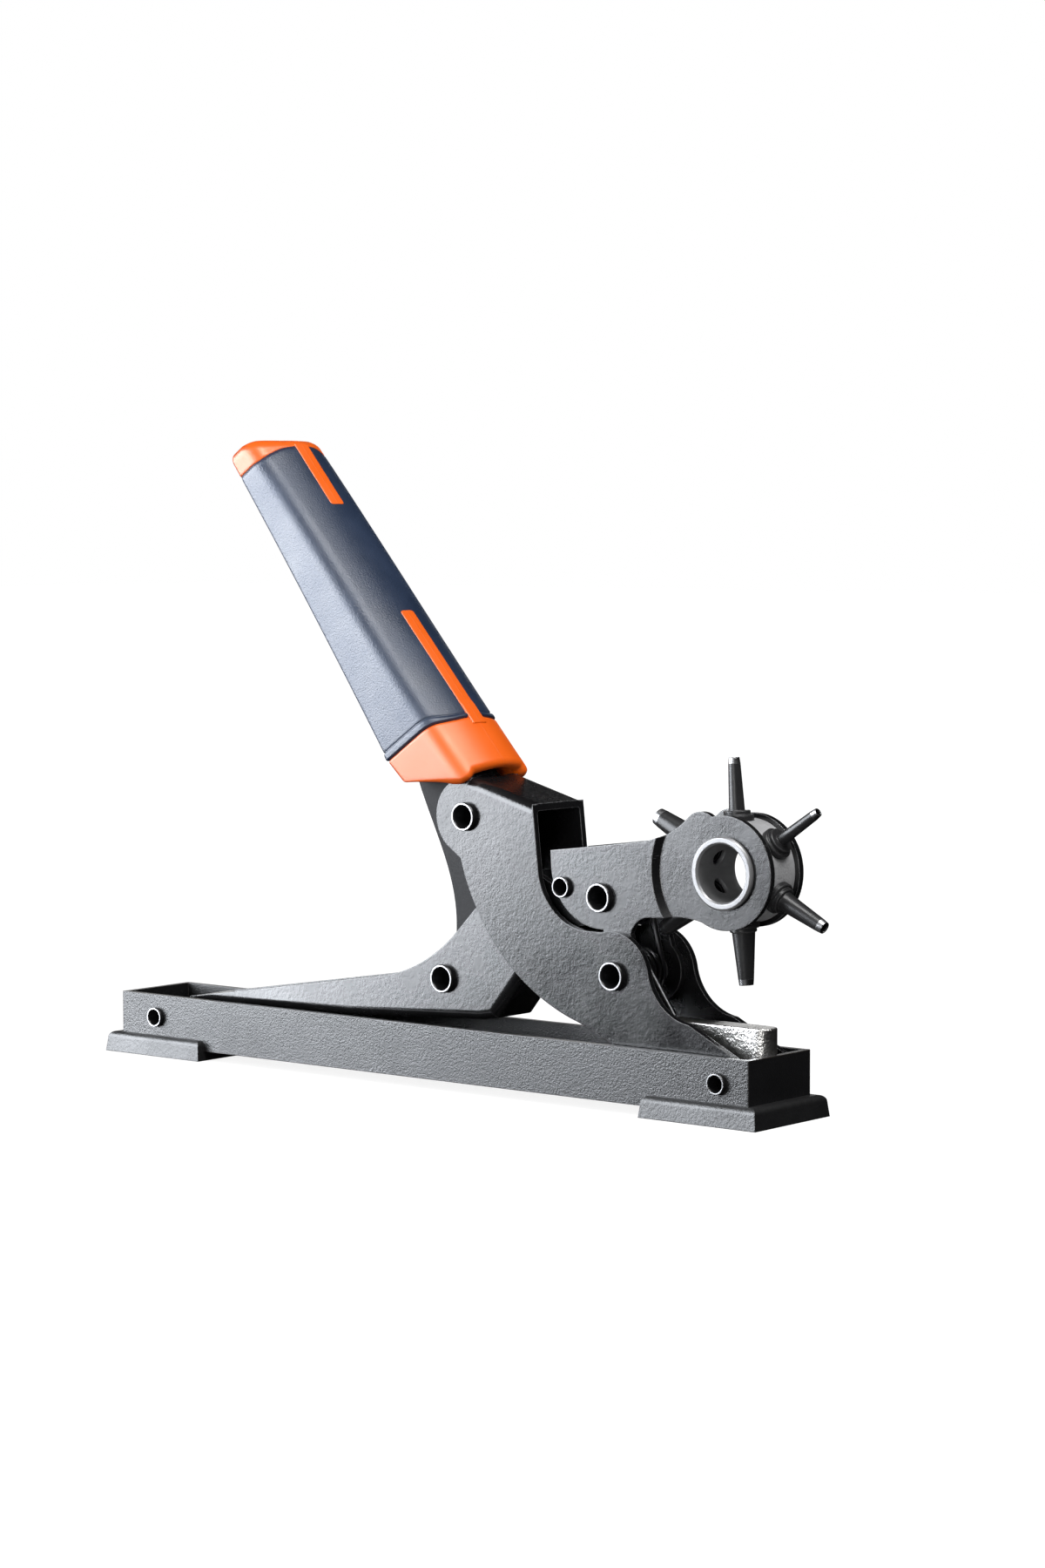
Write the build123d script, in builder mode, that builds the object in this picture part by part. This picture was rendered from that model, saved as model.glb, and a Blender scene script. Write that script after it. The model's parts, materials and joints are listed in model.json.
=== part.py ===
"""Bench lever hole punch: a revolving six-tube punch worked by one hand lever, riveted into a tray base.

The frame and the anvil are fixed in the tray. The hand lever turns on the frame and pushes the lower
lever, which turns the jaw about its own pivot and brings the lowest tube of the wheel down on the anvil.
Row frame: +X along the tray towards the anvil, +Z up, origin on the bench under the middle of the tool.
Side profiles are drawn in "tray coordinates": x from the middle of the tray, z from the bench.
"""
from build123d import *
import math
import os

os.makedirs("parts", exist_ok=True)

# ------------------------------------------------------------------ driving dimensions (mm)
TRAY_MIDDLE_X = -5.7  # the tray's middle; the wheel overhangs one end, so the tool's box is centred on 0

TRAY_LENGTH, TRAY_WIDTH = 250.0, 30.2
TRAY_BOTTOM, TRAY_RIM = 2.9, 19.35
TRAY_WALL = 1.8
TRAY_CORNER = 0.5
TRAY_FLOOR = TRAY_BOTTOM + TRAY_WALL
TRAY_INNER = TRAY_WIDTH / 2 - TRAY_WALL  # half the inner width

FOOT_LENGTH, FOOT_WIDTH, FOOT_HEIGHT = 41.5, 36.6, 6.3
FOOT_END_OVERHANG = 4.5
FOOT_TAPER = 7.0
FOOT_EDGE = 2.0

SHEET = 2.0  # every plate and channel is 2 mm sheet
BEND = 3.0  # outer radius of a fold
FRAME_OUT, FRAME_IN = 12.0, 10.0  # half widths of the nested channels, from the outside in
LOWER_OUT, LOWER_IN = 9.8, 7.8
JAW_OUT, JAW_IN = 9.9, 7.9
EAR_OUT, EAR_IN = 8.0, 6.0
CORE_OUT, CORE_IN = 7.7, 5.7
ARM_OUT, ARM_IN = 7.8, 5.8

# pivots, in tray coordinates (x, z)
LEVER_PIVOT = (18.3, 82.8)  # hand lever on the frame
LINK_PIVOT = (7.8, 33.2)  # lower lever on the hand lever
JAW_PIVOT = (74.3, 39.2)  # jaw on the frame
JAW_LINK = (68.0, 61.5)  # lower lever on the jaw
STOP_RIVET = (53.8, 63.7)  # small rivet that holds the index spring
WHEEL_CENTRE = (110.85, 70.95)
REAR_BASE_RIVET = (-109.4, 12.2)
FRONT_BASE_RIVET = (114.1, 11.9)

SHAFT = 3.2  # radius of the four large tubular rivets
RUNNING = 0.05  # radial clearance of a turning fit
LINK_PLAY = 0.4  # extra radius of the lower lever's hole on the jaw rivet, which takes up the linkage
HEAD, HEAD_HEIGHT, RIVET_BORE = 4.35, 1.8, 2.6
SMALL_SHAFT, SMALL_HEAD, SMALL_HEAD_HEIGHT, SMALL_BORE = 2.3, 3.15, 1.5, 1.8
SPACER, PIVOT_WASHER = 4.6, 5.5

ANVIL_HALF, ANVIL_TOP = 4.0, 26.8
ANVIL_REAR, ANVIL_FRONT = 84.0, 123.1
ANVIL_EDGE = 0.5

# the grip is drawn in sections square to its axis: s along the axis from the lever pivot, n across it
GRIP_ANGLE = 125.0
GRIP_LOW_END, GRIP_START, GRIP_STOP, GRIP_TOP_END = 8.0, 28.6, 134.0, 141.6
GRIP_LOW_RADIUS, GRIP_TOP_RADIUS = 1.2, 6.5
GUARD_HEEL, GUARD_TOE = (24.0, -17.8), (8.9, 6.5)  # the slanted underside of the guard runs through both
SADDLE_HALF, SADDLE_TOP, SADDLE_FROM = 12.4, 13.2, 4.0
BOSS_ROOM = 0.5
INLAY_HALF, INLAY_DEPTH = 3.1, 1.5
LOWER_INLAY_STOP, UPPER_INLAY_START = 69.0, 111.6

DRUM_RADIUS, DRUM_HALF = 15.0, 5.85
HUB_RADIUS, HUB_BORE, HUB_RING, HUB_RING_HEIGHT = 9.6, 8.4, 10.6, 1.4
HUB_WINDOW = 2.5
SEAT_RADIUS, SEAT_AT = 4.85, 14.5  # spot face of a tube's collar on the drum
STEM_RADIUS = 3.2
COLLAR_RADIUS, COLLAR_TOP = 4.8, 16.2
SHOULDER_RADIUS, SHOULDER_TOP, SHOULDER_EDGE = 3.9, 17.4, 0.2
TUBE_TIP_AT = 32.6
TUBE_BEVEL = 1.7
TUBE_WALL, TUBE_EDGE = 0.52, 0.3
TUBE_TAPER, TUBE_TAPER_GROWTH, LARGEST_TAPER = 0.55, 0.55, 1.1  # growth is per mm of hole over 2.5 mm
TUBES = {  # hole diameter: angle of the tube on the wheel at rest
    2.5: 94.0,
    2.0: 34.0,
    3.0: -26.0,
    3.5: -86.0,
    4.0: -146.0,
    4.5: 154.0,
}

SPRING_WIRE, SPRING_RADIUS, SPRING_TURNS, SPRING_PITCH = 1.8, 6.5, 3, 2.4
INDEX_THICK, INDEX_INNER, INDEX_OUTER = 0.6, 3.7, 5.6


# ------------------------------------------------------------------ helpers
def side(y=0.0):
    """Upright drawing plane at depth y, in tray coordinates. Extrusions run towards -Y."""
    return Plane(origin=(TRAY_MIDDLE_X, y, 0), x_dir=(1, 0, 0), z_dir=(0, -1, 0))


def across(centre, y=0.0):
    """Plane on a cross axis at (x, z), with its z direction along -Y."""
    return Plane(origin=(TRAY_MIDDLE_X + centre[0], y, centre[1]), x_dir=(1, 0, 0), z_dir=(0, -1, 0))


def polar(centre, radius, degrees):
    """Point at an angle round a centre."""
    angle = math.radians(degrees)
    return (centre[0] + radius * math.cos(angle), centre[1] + radius * math.sin(angle))


def grip_plane(s):
    """Plane square to the grip's axis, s along it from the lever pivot. Its y is the grip's upper side."""
    angle = math.radians(GRIP_ANGLE)
    along = Vector(math.cos(angle), 0, math.sin(angle))
    origin = Vector(TRAY_MIDDLE_X + LEVER_PIVOT[0], 0, LEVER_PIVOT[1]) + along * s
    return Plane(origin=origin, x_dir=(0, -1, 0), z_dir=along)


def on_grip(s, n):
    """Tray coordinates of the point s along the grip's axis and n across it."""
    angle = math.radians(GRIP_ANGLE)
    return (
        LEVER_PIVOT[0] + s * math.cos(angle) + n * math.sin(angle),
        LEVER_PIVOT[1] + s * math.sin(angle) - n * math.cos(angle),
    )


def tubular_rivet(centre, seat, shaft, head, head_height, bore):
    """Hollow rivet across the tool. seat is the half distance between the faces its rolled heads grip."""
    end = seat + head_height
    mouth = bore + 0.7 * (head - shaft)
    crest = (mouth + head) / 2
    roll = head_height / 4
    section = Plane(origin=(TRAY_MIDDLE_X + centre[0], 0, centre[1]), x_dir=(1, 0, 0), z_dir=(0, 0, 1))
    with BuildPart() as rivet:
        with BuildSketch(section):
            with BuildLine():
                Polyline(
                    (bore, 0),
                    (bore, seat - head_height),
                    (mouth, end - roll),
                    (crest - roll / 2, end),
                    (crest + roll / 2, end),
                    (head, end - roll),
                    (head, seat),
                    (shaft, seat),
                    (shaft, 0),
                    close=True,
                )
            make_face()
        revolve(axis=Axis(section.origin, (0, 1, 0)))
        mirror(about=Plane.XZ)
    return rivet


def sleeve(centre, outer, inner, half_length):
    """Spacer tube centred across the tool."""
    with BuildPart() as tube:
        with BuildSketch(side()):
            with Locations(centre):
                Circle(outer)
                Circle(inner, mode=Mode.SUBTRACT)
        extrude(amount=half_length, both=True)
    return tube


def bend_waste(start, stop, half_width):
    """What the outer radius of a bend takes off both long edges of a web from start to stop.

    The web's inner side is on the right of the way from start to stop.
    """
    run = Vector(stop[0] - start[0], 0, stop[1] - start[1])
    margin = 1.0
    cut = BEND + margin
    corner = Plane(origin=(TRAY_MIDDLE_X + start[0], 0, start[1]), x_dir=(0, -1, 0), z_dir=run.normalized())
    with BuildPart() as waste:
        with BuildSketch(corner):
            with Locations((half_width - BEND + cut / 2, BEND - cut / 2)):
                Rectangle(cut, cut)
            with Locations((half_width - BEND, BEND)):
                Circle(BEND, mode=Mode.SUBTRACT)
            mirror(about=Plane.YZ)
        extrude(amount=run.length)
    return waste.part


def washer_pair(centre, outer, inner, near_face, far_face):
    """Two equal rings, one on each side, between two half widths."""
    with BuildPart() as pair:
        with BuildSketch(side(-near_face)):
            with Locations(centre):
                Circle(outer)
                Circle(inner, mode=Mode.SUBTRACT)
        extrude(amount=far_face - near_face)
        mirror(about=Plane.XZ)
    return pair


# ------------------------------------------------------------------ base: tray and feet
with BuildPart() as base_tray:
    with Locations((TRAY_MIDDLE_X, 0, TRAY_BOTTOM)):
        Box(
            TRAY_LENGTH,
            TRAY_WIDTH,
            TRAY_RIM - TRAY_BOTTOM,
            align=(Align.CENTER, Align.CENTER, Align.MIN),
        )
    fillet(base_tray.edges().filter_by(Axis.Z), TRAY_CORNER)
    with BuildSketch(Plane.XY.offset(TRAY_FLOOR)):
        with Locations((TRAY_MIDDLE_X, 0)):
            Rectangle(TRAY_LENGTH - 2 * TRAY_WALL, TRAY_WIDTH - 2 * TRAY_WALL)
    extrude(amount=TRAY_RIM, mode=Mode.SUBTRACT)
    with BuildSketch(side()):
        with Locations(REAR_BASE_RIVET, FRONT_BASE_RIVET):
            Circle(SMALL_SHAFT)
    extrude(amount=TRAY_WIDTH, both=True, mode=Mode.SUBTRACT)


def end_foot(direction):
    """Moulded foot that wraps one end of the tray's bottom. direction is -1 or 1 along X."""
    middle = TRAY_MIDDLE_X + direction * (TRAY_LENGTH / 2 + FOOT_END_OVERHANG - FOOT_LENGTH / 2)
    with BuildPart() as foot:
        with BuildSketch(Plane.XY):
            with Locations((middle, 0)):
                Rectangle(FOOT_LENGTH, FOOT_WIDTH)
        extrude(amount=FOOT_HEIGHT, taper=FOOT_TAPER)
        fillet(foot.faces().sort_by(Axis.Z)[-1].edges(), FOOT_EDGE)
        with Locations((TRAY_MIDDLE_X, 0, TRAY_BOTTOM)):
            Box(
                TRAY_LENGTH,
                TRAY_WIDTH,
                FOOT_HEIGHT,
                align=(Align.CENTER, Align.CENTER, Align.MIN),
                mode=Mode.SUBTRACT,
            )
    return foot


foot_rear = end_foot(-1)
foot_front = end_foot(1)

base_rivet_rear = tubular_rivet(
    REAR_BASE_RIVET, TRAY_WIDTH / 2, SMALL_SHAFT, SMALL_HEAD, SMALL_HEAD_HEIGHT, SMALL_BORE
)
base_rivet_front = tubular_rivet(
    FRONT_BASE_RIVET, TRAY_WIDTH / 2, SMALL_SHAFT, SMALL_HEAD, SMALL_HEAD_HEIGHT, SMALL_BORE
)
rear_tie_tube = sleeve(REAR_BASE_RIVET, SPACER - 0.6, SMALL_SHAFT, TRAY_INNER)
tray_washers = washer_pair(FRONT_BASE_RIVET, SPACER, SMALL_SHAFT, FRAME_OUT, TRAY_INNER)
anvil_spacers = washer_pair(FRONT_BASE_RIVET, SPACER, SMALL_SHAFT, ANVIL_HALF, FRAME_IN)

# ------------------------------------------------------------------ frame: one folded sheet with its web on top
FRAME_BOSS = 11.6
WEB_CORNER = (44.0, 87.7)
WEB_START_X = 19.5
BOSS_TANGENT = polar(LEVER_PIVOT, FRAME_BOSS, 74.4)
BOSS_EXIT = polar(LEVER_PIVOT, FRAME_BOSS, 230.0)
FRAME_SHOULDER = (16.2, 70.2)
FRAME_SWEEP_END = (61.5, 24.5)
FRAME_FOOT_FRONT = 121.5
WEB_SLOPE = (WEB_CORNER[1] - BOSS_TANGENT[1]) / (WEB_CORNER[0] - BOSS_TANGENT[0])
WEB_RISE = SHEET * math.sqrt(1 + WEB_SLOPE**2)  # upright thickness of the sloping web


def below_web(x):
    """Height of the web's underside at x."""
    return BOSS_TANGENT[1] + WEB_SLOPE * (x - BOSS_TANGENT[0]) - WEB_RISE


def under_the_web(edge):
    """Whether an edge of the tunnel runs along the web's slope."""
    run = edge @ 1 - edge @ 0
    return abs(run.X) > 10 and abs(run.Z / run.X - WEB_SLOPE) < 0.01


with BuildPart() as frame_tunnel:  # the space between the plates, under the web
    with BuildSketch(side()):
        with BuildLine():
            Polyline(
                (-30, -10),
                (160, -10),
                (160, below_web(160)),
                (WEB_START_X, below_web(WEB_START_X)),
                (WEB_START_X, 130),
                (-30, 130),
                close=True,
            )
        make_face()
    extrude(amount=FRAME_IN, both=True)
    fillet(frame_tunnel.edges().filter_by(under_the_web), BEND - SHEET)

frame_bend = bend_waste((WEB_START_X, below_web(WEB_START_X) + WEB_RISE), WEB_CORNER, FRAME_OUT)

with BuildPart() as frame_body:
    with BuildSketch(side()):
        with BuildLine():
            ThreePointArc(BOSS_TANGENT, polar(LEVER_PIVOT, FRAME_BOSS, 150.0), BOSS_EXIT)
            Line(BOSS_EXIT, FRAME_SHOULDER)
            ThreePointArc(FRAME_SHOULDER, (33.4, 41.1), FRAME_SWEEP_END)
            Polyline(FRAME_SWEEP_END, (92.0, 12.1), (101.0, TRAY_FLOOR), (FRAME_FOOT_FRONT, TRAY_FLOOR))
            Polyline((FRAME_FOOT_FRONT, TRAY_FLOOR), (FRAME_FOOT_FRONT, 17.2), (101.3, 27.2))
            ThreePointArc((101.3, 27.2), (91.6, 31.8), (86.9, 40.2))
            ThreePointArc((86.9, 40.2), (82.9, 48.2), (69.5, 51.6))
            Line((69.5, 51.6), (62.5, 51.7))
            ThreePointArc((62.5, 51.7), (50.9, 57.6), (46.0, 69.0))
            Polyline((46.0, 69.0), WEB_CORNER, BOSS_TANGENT)
        make_face()
    extrude(amount=FRAME_OUT, both=True)
    add(frame_tunnel.part, mode=Mode.SUBTRACT)
    add(frame_bend, mode=Mode.SUBTRACT)
    with BuildSketch(side()):
        with Locations(LEVER_PIVOT, JAW_PIVOT):
            Circle(SHAFT)
        with Locations(FRONT_BASE_RIVET):
            Circle(SMALL_SHAFT)
    extrude(amount=FRAME_OUT, both=True, mode=Mode.SUBTRACT)

with BuildPart() as anvil:
    with BuildSketch(Plane.XY.offset(TRAY_FLOOR)):
        with Locations((TRAY_MIDDLE_X + (ANVIL_REAR + ANVIL_FRONT - ANVIL_HALF) / 2, 0)):
            Rectangle(ANVIL_FRONT - ANVIL_HALF - ANVIL_REAR, 2 * ANVIL_HALF)
        with Locations((TRAY_MIDDLE_X + ANVIL_FRONT - ANVIL_HALF, 0)):
            Circle(ANVIL_HALF)
    extrude(amount=ANVIL_TOP - TRAY_FLOOR)
    fillet(anvil.faces().sort_by(Axis.Z)[-1].edges(), ANVIL_EDGE)
    with BuildSketch(side()):
        with Locations(FRONT_BASE_RIVET):
            Circle(SMALL_SHAFT)
    extrude(amount=ANVIL_HALF, both=True, mode=Mode.SUBTRACT)

lever_pivot_rivet = tubular_rivet(LEVER_PIVOT, FRAME_OUT, SHAFT, HEAD, HEAD_HEIGHT, RIVET_BORE)
jaw_pivot_rivet = tubular_rivet(JAW_PIVOT, FRAME_OUT, SHAFT, HEAD, HEAD_HEIGHT, RIVET_BORE)
lever_pivot_washers = washer_pair(LEVER_PIVOT, PIVOT_WASHER, SHAFT, CORE_OUT + RUNNING, FRAME_IN)

# ------------------------------------------------------------------ hand lever: folded core inside the grip
CORE_BOSS = 9.0
CORE_LOW, CORE_HIGH = -11.9, 3.5  # across the grip's axis, at the grip's lower end
CORE_TIP_S, CORE_TIP_LOW, CORE_TIP_HIGH = 126.0, -10.2, -4.5
CORE_NECK_S = 13.0


def core_outline():
    """Side outline of the lever core, from the link pivot up into the grip."""
    Line(polar(LINK_PIVOT, CORE_BOSS, 70.0), (10.9, 49.3))
    Spline((10.9, 49.3), (8.9, 62.7), (2.4, 78.4), on_grip(24.0, CORE_LOW))
    Polyline(on_grip(24.0, CORE_LOW), on_grip(38.0, CORE_TIP_LOW), on_grip(CORE_TIP_S, CORE_TIP_LOW))
    Line(on_grip(CORE_TIP_S, CORE_TIP_LOW), on_grip(CORE_TIP_S, CORE_TIP_HIGH))
    Line(on_grip(CORE_TIP_S, CORE_TIP_HIGH), on_grip(CORE_NECK_S, CORE_HIGH))
    Line(on_grip(CORE_NECK_S, CORE_HIGH), polar(LEVER_PIVOT, CORE_BOSS, 97.0))
    ThreePointArc(
        polar(LEVER_PIVOT, CORE_BOSS, 97.0),
        polar(LEVER_PIVOT, CORE_BOSS, 40.0),
        polar(LEVER_PIVOT, CORE_BOSS, -15.0),
    )
    Line(polar(LEVER_PIVOT, CORE_BOSS, -15.0), polar(LINK_PIVOT, CORE_BOSS, 0.0))
    ThreePointArc(
        polar(LINK_PIVOT, CORE_BOSS, 0.0),
        polar(LINK_PIVOT, CORE_BOSS, -120.0),
        polar(LINK_PIVOT, CORE_BOSS, 70.0),
    )


with BuildPart() as core_envelope:  # the space that the moulded grip is formed round
    with BuildSketch(side()):
        with BuildLine():
            core_outline()
        make_face()
    extrude(amount=CORE_OUT, both=True)

with BuildPart() as lever_core:
    add(core_envelope.part)
    with BuildSketch(side()):
        with BuildLine():
            Polyline(
                (-40, 10),
                (60, 10),
                (60, 95.5),
                on_grip(CORE_NECK_S, CORE_HIGH + 6.0),
                on_grip(CORE_NECK_S, CORE_HIGH - SHEET),
                on_grip(CORE_TIP_S + 5.0, CORE_TIP_HIGH - SHEET),
                on_grip(CORE_TIP_S + 5.0, -60.0),
                close=True,
            )
        make_face()
    extrude(amount=CORE_IN, both=True, mode=Mode.SUBTRACT)
    with BuildSketch(side()):
        with Locations(LEVER_PIVOT, LINK_PIVOT):
            Circle(SHAFT + RUNNING)
    extrude(amount=CORE_OUT, both=True, mode=Mode.SUBTRACT)

lever_pivot_spacer = sleeve(LEVER_PIVOT, SPACER, SHAFT + RUNNING, CORE_IN)

# ------------------------------------------------------------------ grip: body, guard, end cap and two inlays


def grip_section(s, half_width, low, edge, crown):
    """Rounded section of the grip: flat underside and sides, and a crowned upper face."""
    with BuildSketch(grip_plane(s)) as section:
        with BuildLine():
            ThreePointArc((-half_width, edge), (0, crown), (half_width, edge))
            Polyline((half_width, edge), (half_width, low), (-half_width, low), (-half_width, edge))
        make_face()
        largest = 0.42 * (edge - low)
        fillet(section.vertices().group_by(Axis.Y)[0], min(GRIP_LOW_RADIUS, largest))
        fillet(section.vertices().group_by(Axis.Y)[-1], min(GRIP_TOP_RADIUS, largest))
    return section.sketch


BODY_SECTIONS = [  # s, half width, low, edge, crown
    (GRIP_START, 16.2, -14.2, 5.9, 10.8),
    (60.0, 15.9, -13.7, 3.6, 7.5),
    (100.0, 15.9, -13.9, -0.3, 3.5),
    (GRIP_STOP, 16.0, -14.2, -4.2, 0.3),
]

with BuildPart() as grip_blank:  # the whole navy and inlay volume, before it is divided
    loft([grip_section(*row) for row in BODY_SECTIONS])


def inlay_strip(start, stop):
    """Strip of the grip's crown between two places along it, as deep as the inlays."""
    tops = {row[0]: row[4] for row in BODY_SECTIONS}
    first, last = GRIP_START, GRIP_STOP
    slope = (tops[last] - tops[first]) / (last - first)
    under_start = tops[first] + slope * (start - first) - INLAY_DEPTH
    under_stop = tops[first] + slope * (stop - first) - INLAY_DEPTH
    with BuildPart() as strip:
        with BuildSketch(side()):
            with BuildLine():
                Polyline(
                    on_grip(start, under_start),
                    on_grip(stop, under_stop),
                    on_grip(stop, under_stop + 20),
                    on_grip(start, under_start + 20),
                    close=True,
                )
            make_face()
        extrude(amount=INLAY_HALF, both=True)
    return strip.part


inlay_cutters = [inlay_strip(GRIP_START, LOWER_INLAY_STOP), inlay_strip(UPPER_INLAY_START, GRIP_STOP)]

with BuildPart() as grip_inlays:
    add(inlay_cutters)
    add(grip_blank.part, mode=Mode.INTERSECT)

with BuildPart() as grip_body:
    add(grip_blank.part)
    add(core_envelope.part, mode=Mode.SUBTRACT)
    add(inlay_cutters, mode=Mode.SUBTRACT)

saddle_start = side().from_local_coords((*on_grip(0, SADDLE_FROM), 0))
saddle_plane = Plane(origin=saddle_start, x_dir=(0, 1, 0), z_dir=grip_plane(0).y_dir)
with BuildPart() as saddle:  # the arch in the guard's front wall, over the frame's web
    with BuildSketch(saddle_plane):
        with BuildLine():
            ThreePointArc((-SADDLE_HALF, GRIP_LOW_END - 1), (0, SADDLE_TOP), (SADDLE_HALF, GRIP_LOW_END - 1))
            Line((SADDLE_HALF, GRIP_LOW_END - 1), (-SADDLE_HALF, GRIP_LOW_END - 1))
        make_face()
    extrude(amount=20)

with BuildPart() as grip_guard:
    loft(
        [
            grip_section(GRIP_LOW_END, 15.6, -10.6, 9.3, 13.0),
            grip_section(19.0, 16.3, -12.3, 7.6, 12.0),
            grip_section(*BODY_SECTIONS[0]),
        ]
    )
    with BuildSketch(side()):  # the slanted underside towards the lever core
        with BuildLine():
            Polyline(
                on_grip(*GUARD_HEEL),
                on_grip(*GUARD_TOE),
                on_grip(GUARD_TOE[0], 20.0),
                on_grip(0.0, 20.0),
                on_grip(0.0, GUARD_HEEL[1]),
                close=True,
            )
        make_face()
    extrude(amount=20, both=True, mode=Mode.SUBTRACT)
    with BuildSketch(side()):  # room for the frame's boss
        with Locations(LEVER_PIVOT):
            Circle(FRAME_BOSS + BOSS_ROOM)
    extrude(amount=FRAME_OUT + BOSS_ROOM, both=True, mode=Mode.SUBTRACT)
    add(saddle.part, mode=Mode.SUBTRACT)
    add(core_envelope.part, mode=Mode.SUBTRACT)

with BuildPart() as grip_end_cap:
    loft(
        [
            grip_section(*BODY_SECTIONS[-1]),
            grip_section(GRIP_STOP + 3.6, 15.9, -14.0, -5.4, -1.3),
            grip_section(GRIP_TOP_END, 14.0, -12.6, -7.6, -5.2),
        ]
    )

# ------------------------------------------------------------------ lower lever: channel with a joggled arm
TAIL_TIP_X = -100.0
ARM_BOSS = 8.5
JOGGLE_TOP, JOGGLE_FOOT = (41.0, 67.6), (50.0, 50.9)
JOGGLE_LAP = 3.0
STOP_CLEARANCE = 3.8  # hollow in the arm's upper edge, under the jaw's small rivet

LOWER_FLOOR = [(TAIL_TIP_X, 17.3), (-31.0, 18.7), (21.4, 21.6), (27.2, 22.6), JOGGLE_FOOT]

lower_bends = [bend_waste(there, here, LOWER_OUT) for here, there in zip(LOWER_FLOOR, LOWER_FLOOR[1:])]

with BuildPart() as lower_lever:
    with BuildSketch(side()):
        with BuildLine():
            Line(LOWER_FLOOR[0], (TAIL_TIP_X, 19.1))
            Line((TAIL_TIP_X, 19.1), (-20.4, 31.6))
            ThreePointArc((-20.4, 31.6), (-2.5, 36.8), (11.3, 46.3))
            Polyline((11.3, 46.3), (31.0, 66.2), JOGGLE_TOP, JOGGLE_FOOT)
            Polyline(*reversed(LOWER_FLOOR))
        make_face()
    extrude(amount=LOWER_OUT, both=True)
    add(lower_bends, mode=Mode.SUBTRACT)
    with BuildSketch(side()):
        with BuildLine():
            Polyline(
                *[(x, z + SHEET) for x, z in LOWER_FLOOR[:3]],
                (25.9, 24.5),
                (JOGGLE_FOOT[0] - 1.6, JOGGLE_FOOT[1] + 1.3),
                (JOGGLE_FOOT[0] + 12, JOGGLE_FOOT[1] + 15),
                (JOGGLE_TOP[0], 90),
                (TAIL_TIP_X - 5, 90),
                close=True,
            )
        make_face()
    extrude(amount=LOWER_IN, both=True, mode=Mode.SUBTRACT)
    with BuildSketch(side(-ARM_IN)):  # the arm, set in by one sheet so that it runs inside the jaw
        with BuildLine():
            Polyline(
                (JOGGLE_FOOT[0] - 2.0, JOGGLE_FOOT[1] - 1.6),
                (JOGGLE_TOP[0] - JOGGLE_LAP, JOGGLE_TOP[1] - 0.4),
                JOGGLE_TOP,
                polar(STOP_RIVET, STOP_CLEARANCE, -170.0),
            )
            ThreePointArc(
                polar(STOP_RIVET, STOP_CLEARANCE, -170.0),
                polar(STOP_RIVET, STOP_CLEARANCE, -105.0),
                polar(STOP_RIVET, STOP_CLEARANCE, -40.0),
            )
            Line(polar(STOP_RIVET, STOP_CLEARANCE, -40.0), polar(JAW_LINK, ARM_BOSS, 170.0))
            ThreePointArc(
                polar(JAW_LINK, ARM_BOSS, 170.0),
                polar(JAW_LINK, ARM_BOSS, 20.0),
                polar(JAW_LINK, ARM_BOSS, -110.0),
            )
            Polyline(
                polar(JAW_LINK, ARM_BOSS, -110.0),
                JOGGLE_FOOT,
                (JOGGLE_FOOT[0] - 2.0, JOGGLE_FOOT[1] - 1.6),
            )
        make_face()
    extrude(amount=SHEET)
    mirror(about=Plane.XZ)
    with BuildSketch(side()):
        with Locations(LINK_PIVOT):
            Circle(SHAFT)
        with Locations(JAW_LINK):
            Circle(SHAFT + LINK_PLAY)
    extrude(amount=LOWER_OUT, both=True, mode=Mode.SUBTRACT)

link_rivet = tubular_rivet(LINK_PIVOT, LOWER_OUT, SHAFT, HEAD, HEAD_HEIGHT, RIVET_BORE)
link_spacer = sleeve(LINK_PIVOT, SPACER, SHAFT, CORE_IN - 2 * RUNNING)

# ------------------------------------------------------------------ jaw: two joggled plates with ears for the wheel
EAR_RADIUS = 16.45
JAW_BOSS = 9.5
JOGGLE_RADIUS, JOGGLE_FLARE = 22.6, 1.8


def jaw_outline():
    """Side outline of a jaw plate: rear block, rising neck, round ear, and a lug down to the jaw pivot."""
    ear_start = polar(WHEEL_CENTRE, EAR_RADIUS, 105.0)
    ear_stop = polar(WHEEL_CENTRE, EAR_RADIUS, 242.0)
    Polyline((49.4, 69.0), (49.1, 74.3), (84.0, 78.7))
    ThreePointArc((84.0, 78.7), (91.6, 81.5), (98.2, 86.2))
    ThreePointArc((98.2, 86.2), (102.3, 88.1), ear_start)
    ThreePointArc(ear_start, polar(WHEEL_CENTRE, EAR_RADIUS, -10.0), ear_stop)
    ThreePointArc(ear_stop, (98.7, 57.2), (93.5, 57.3))
    Line((93.5, 57.3), (86.0, 56.8))
    ThreePointArc((86.0, 56.8), (81.2, 55.2), (78.8, 51.5))
    Line((78.8, 51.5), polar(JAW_PIVOT, JAW_BOSS, 50.0))
    ThreePointArc(
        polar(JAW_PIVOT, JAW_BOSS, 50.0), polar(JAW_PIVOT, JAW_BOSS, -90.0), polar(JAW_PIVOT, JAW_BOSS, 130.0)
    )
    Line(polar(JAW_PIVOT, JAW_BOSS, 130.0), (69.0, 52.1))
    Line((69.0, 52.1), (66.0, 52.3))
    ThreePointArc((66.0, 52.3), (54.6, 57.8), (49.4, 69.0))


with BuildPart() as ear_layer:  # the part of a plate inside the joggle, one layer further in
    with BuildSketch(side(-EAR_IN)):
        with BuildLine():
            jaw_outline()
        make_face()
    extrude(amount=SHEET)
    with Locations(across(WHEEL_CENTRE, -EAR_IN)):
        Cone(
            JOGGLE_RADIUS + 0.2,
            JOGGLE_RADIUS + 0.2 + JOGGLE_FLARE,
            SHEET,
            align=(Align.CENTER, Align.CENTER, Align.MIN),
            mode=Mode.INTERSECT,
        )

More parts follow.
